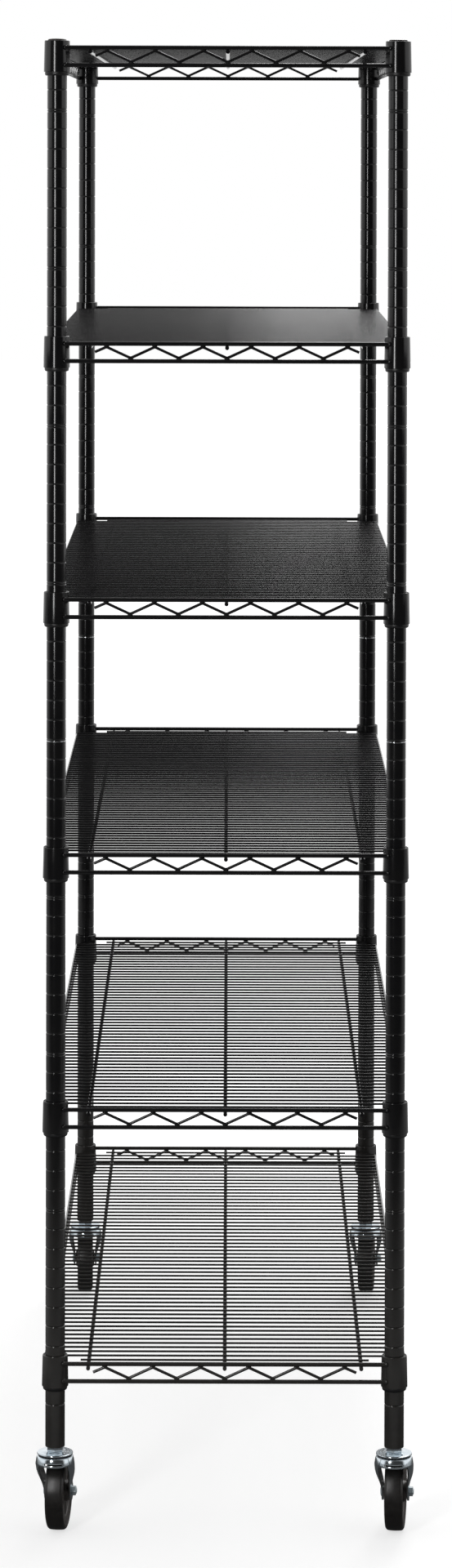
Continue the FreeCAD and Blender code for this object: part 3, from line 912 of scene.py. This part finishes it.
def tyre_profile():
    """Tyre section about Z: crowned tread, round shoulders, a groove round each side wall."""
    half = TYRE_HALF
    crowning = 0.4
    shoulder = half - TREAD_FLAT
    shoulder_r = WHEEL_R - crowning - shoulder
    tread = [(WHEEL_R - crowning * (z / TREAD_FLAT) ** 2, z)
             for z in (-TREAD_FLAT, -5.0, -2.5, -0.5, 0.5, 2.5, 5.0, TREAD_FLAT)]
    low = arc((shoulder_r, -TREAD_FLAT), shoulder, -90, -8, 7)
    high = arc((shoulder_r, TREAD_FLAT), shoulder, 8, 90, 7)
    wall = [(43.0, half - 0.25), (42.2, half - 0.9), (41.4, half - 0.9), (40.6, half - 0.5),
            (37.2, half - 1.2), (36.0, half - 1.5)]
    return low + tread + high + wall + [(r, -z) for r, z in reversed(wall)]


def hub_profile():
    """Wheel centre section about Z: rim, dished web and bearing boss."""
    right = [(6.55, 0.0), (6.55, 14.2), (7.0, 14.4), (11.6, 14.4), (12.6, 13.6), (13.2, 12.0),
             (13.7, 9.6), (14.9, 8.7), (18.0, 8.6), (28.0, 8.6), (30.2, 8.7), (31.8, 9.5),
             (33.0, 10.1), (34.2, 10.4), (35.95, 10.5)]
    return right + [(r, -z) for r, z in reversed(right[1:])]


def hub_ribs(work):
    """Low ribs on each side of the web."""
    for side in (-1, 1):
        for k in range(RIB_COUNT):
            turn = Matrix.Rotation(2 * math.pi * k / RIB_COUNT, 4, "Z")
            place = Matrix.Translation((22.5 * MM, 0, side * 8.5 * MM))
            size = Matrix.Diagonal((18.5 * MM, 2.0 * MM, 1.9 * MM, 1.0))
            bmesh.ops.create_cube(work, size=1.0, matrix=turn @ place @ size)


def axle_bolt(work):
    """Axle bolt along Z: low round head on the -Z side, nut and dished tail on the +Z side."""
    hex_prism(work, NUT_FLATS, BOLT_SEAT, BOLT_SEAT + NUT_HEIGHT, 0.5)
    shank = [(0, -BOLT_SEAT), (BOLT_R, -BOLT_SEAT), (BOLT_R, BOLT_END - 0.6), (3.4, BOLT_END),
             (2.4, BOLT_END), (2.1, BOLT_END - 1.4), (0, BOLT_END - 1.6)]
    head = [(0, 0), (0, -2.0), (2.6, -1.95), (5.0, -1.6), (6.8, -0.9), (7.4, -0.4), (7.4, 0)]
    spun(work, metres(shank), 32)
    spun(work, metres([(r, z - BOLT_SEAT) for r, z in head]), 40)
    tidy(work)


def make_swivel_tops():
    """What stays with the posts: upper race discs, stems with their hex shoulders, and balls."""
    plate = [(8.05, 108.6), (22.6, 108.6), (23.1, 108.8), (23.3, 109.3), (23.3, 110.0),
             (23.1, 110.5), (22.5, 110.8), (20.6, 110.75), (18.5, 110.7), (14.0, 111.3),
             (12.6, 111.8), (12.0, RACE_UNDER), (8.05, RACE_UNDER)]
    discs = copies(turned("disc_blank", plate, 72), "race_plates", post_places())
    settled(discs, CHROME, "root", ["swivel_discs"], 40)

    pin = [(0, 102.2), (9.5, 102.2), (10.5, 103.2), (10.5, 104.3), (8.0, 104.3),
           (8.0, RACE_UNDER), (5.95, RACE_UNDER), (5.95, 149.0), (5.0, 150.0), (0, 150.0)]
    shoulder = mesh_object("shoulder_blank",
                           lambda work: hex_prism(work, HEX_FLATS, RACE_UNDER, HEX_TOP, 0.7))
    stem = joined("stem_blank", [turned("pin_blank", pin, 40), shoulder])
    stems = copies(stem, "hex_stems", post_places())
    settled(stems, CHROME, "root", ["caster_stems"])

    ring = ball_ring_tree().grow("ball_blank", Balls=BALL_COUNT, Ring=BALL_RING, Ball=BALL_R,
                                 Material=BALL_STEEL)
    balls = copies(ring, "bearing_balls", post_places(BALL_HEIGHT))
    settled(balls, BALL_STEEL, "root", ["swivel_balls"])


def make_casters():
    """Fork, tyre, wheel centre and axle at each corner, turned to the joint's own axle."""
    joints = {joint["name"]: joint for joint in frame["joints"]}
    lay_down = Matrix.Rotation(math.pi / 2, 4, "Y")
    for corner, spot in POSTS.items():
        axis = joints["roll_" + corner]["axis"]
        turn = Matrix.Rotation(math.atan2(axis[1], axis[0]), 4, "Z")
        place = Matrix.Translation((spot.x, spot.y, 0.0)) @ turn
        make_fork(corner, place)
        on_axle = place @ Matrix.Translation((0.0, TRAIL * MM, WHEEL_R * MM)) @ lay_down

        tyre = turned("tyre_ring_" + corner, tyre_profile(), 96)
        tyre.data.transform(on_axle)
        settled(tyre, RUBBER, "wheel_" + corner, ["tyre_" + corner], 50)

        web = turned("web_blank", hub_profile(), 72)
        hub = joined("wheel_centre_" + corner, [web, mesh_object("rib_blank", hub_ribs)])
        hub.data.transform(on_axle)
        settled(hub, NYLON, "wheel_" + corner, ["hub_" + corner])

        axle = mesh_object("axle_bolt_" + corner, axle_bolt)
        axle.data.transform(on_axle)
        settled(axle, ZINC, "fork_" + corner, ["axle_" + corner])


def finish_hidden_pieces():
    """Pieces inside the posts and wheels keep their shape and get their plated finish."""
    names = ["post_joint_studs", "post_joint_nuts", "caster_sockets"]
    names += ["bush_" + corner for corner in CORNERS]
    for name in names:
        node = frame["nodes"][name]
        node.data.materials.clear()
        node.data.materials.append(ZINC)


# ---- stage, light and camera ----
def make_stage():
    """A pale floor, near white, made to glow: the glow the camera sees drops under and near the
    rack as a painted shadow, and reflections see a darker floor whose painted glow is dim around
    the rack and bright behind.
    """
    material, g = material_graph("pale_floor")
    place = g.add("ShaderNodeTexCoord")["Object"]
    spot = g.add("ShaderNodeSeparateXYZ", {}, {"Vector": place})
    beside = spot["X"].maths("ABSOLUTE") - POST_X
    beyond = (spot["Y"] - PLAN.y).maths("ABSOLUTE") - POST_Y
    gap = beside.maths("MAXIMUM", beyond)
    # painted reflection: the glow that reflected rays see, dark close round the rack, dim ahead,
    # bright far behind
    around = smooth(g, gap, 0.3, 1.2, 0.03, 0.40)
    in_front = smooth(g, spot["Y"], -0.8, -1.2, 0.0, 1.0)
    ahead = smooth(g, spot["Y"], -2.6, -1.3, 0.03, 0.26)
    behind = smooth(g, spot["Y"], 1.5, 4.0, 0.0, 1.0)
    mirrored = (around + in_front * (ahead - around)).maths("MAXIMUM", behind)
    # painted shadow: the glow the camera sees falls to two thirds under and beside the rack
    visible = smooth(g, gap, 0.0, 1.0, 0.66, 1.0)
    seen = g.add("ShaderNodeLightPath")["Is Camera Ray"]
    grain = noise(g, place, 1.5, 3.0, 0.5)
    surface(g, {"Roughness": 0.8, "Emission Strength": 1.0, "Specular IOR Level": 0.0},
            {"Base Color": 0.05 + seen * (0.40 + grain * 0.06),
             "Emission Color": mirrored + seen * (visible - mirrored)})
    floor = mesh_object("floor", lambda work: bmesh.ops.create_grid(
        work, x_segments=1, y_segments=1, size=30.0))
    floor.data.materials.append(material)


def softbox(name, place, aim, width, height, power):
    """A white rectangular light that faces its aim and isn't seen itself."""
    light = bpy.data.lights.new(name, "AREA")
    light.shape = "RECTANGLE"
    light.size = width
    light.size_y = height
    light.energy = power
    lamp = link(bpy.data.objects.new(name, light))
    lamp.location = place
    lamp.rotation_euler = (Vector(aim) - Vector(place)).to_track_quat("-Z", "Y").to_euler()
    lamp.visible_camera = False


def make_light():
    """White sweep behind and beside, dark in front, with a tall strip to the left of the camera."""
    world = bpy.data.worlds.new("studio")
    bpy.context.scene.world = world
    world.use_nodes = True
    g = Graph(world.node_tree)
    direction = g.add("ShaderNodeTexCoord")["Generated"]
    towards = g.add("ShaderNodeSeparateXYZ", {}, {"Vector": direction})
    around = smooth(g, towards["Y"], -0.64, -0.36, 0.04, 1.0)
    upwards = smooth(g, towards["Z"], 0.30, 0.90, 1.0, 0.35)
    seen = g.add("ShaderNodeLightPath")["Is Camera Ray"]
    sky = g.add("ShaderNodeBackground", {}, {"Color": (1.0, 1.0, 1.0, 1.0),
                                             "Strength": (around * upwards).maths("MAXIMUM", seen)})
    g.add("ShaderNodeOutputWorld", {}, {"Surface": sky})
    softbox("strip", (-1.29, -3.45, 1.85), (0.0, -0.6, 1.6), 0.46, 2.1, 40.0)
    softbox("overhead", (0.72, 2.0, 3.6), (0.6, 0.4, 1.2), 1.4, 3.0, 72.0)


CAMERA_PLACE = (0.0032, -6.3357, 1.8108)
LENS = 101.62
SHIFT = -0.35
TILT, YAW, ROLL = 1.223, 0.05, 0.136   # degrees


def make_camera():
    data = bpy.data.cameras.new("camera")
    data.lens = LENS
    data.sensor_width = 36.0
    data.shift_y = SHIFT
    data.clip_end = 100.0
    camera = link(bpy.data.objects.new("camera", data))
    camera.location = CAMERA_PLACE
    pan = Matrix.Rotation(math.radians(YAW), 4, "Z")
    tip = Matrix.Rotation(math.radians(90.0 - TILT), 4, "X")
    lean = Matrix.Rotation(math.radians(ROLL), 4, "Z")
    camera.rotation_euler = (pan @ tip @ lean).to_euler()
    bpy.context.scene.camera = camera
    bpy.context.scene.view_settings.view_transform = "Standard"


make_posts()
make_caps()
make_shelves()
make_swivel_tops()
make_casters()
finish_hidden_pieces()
make_stage()
make_light()
make_camera()
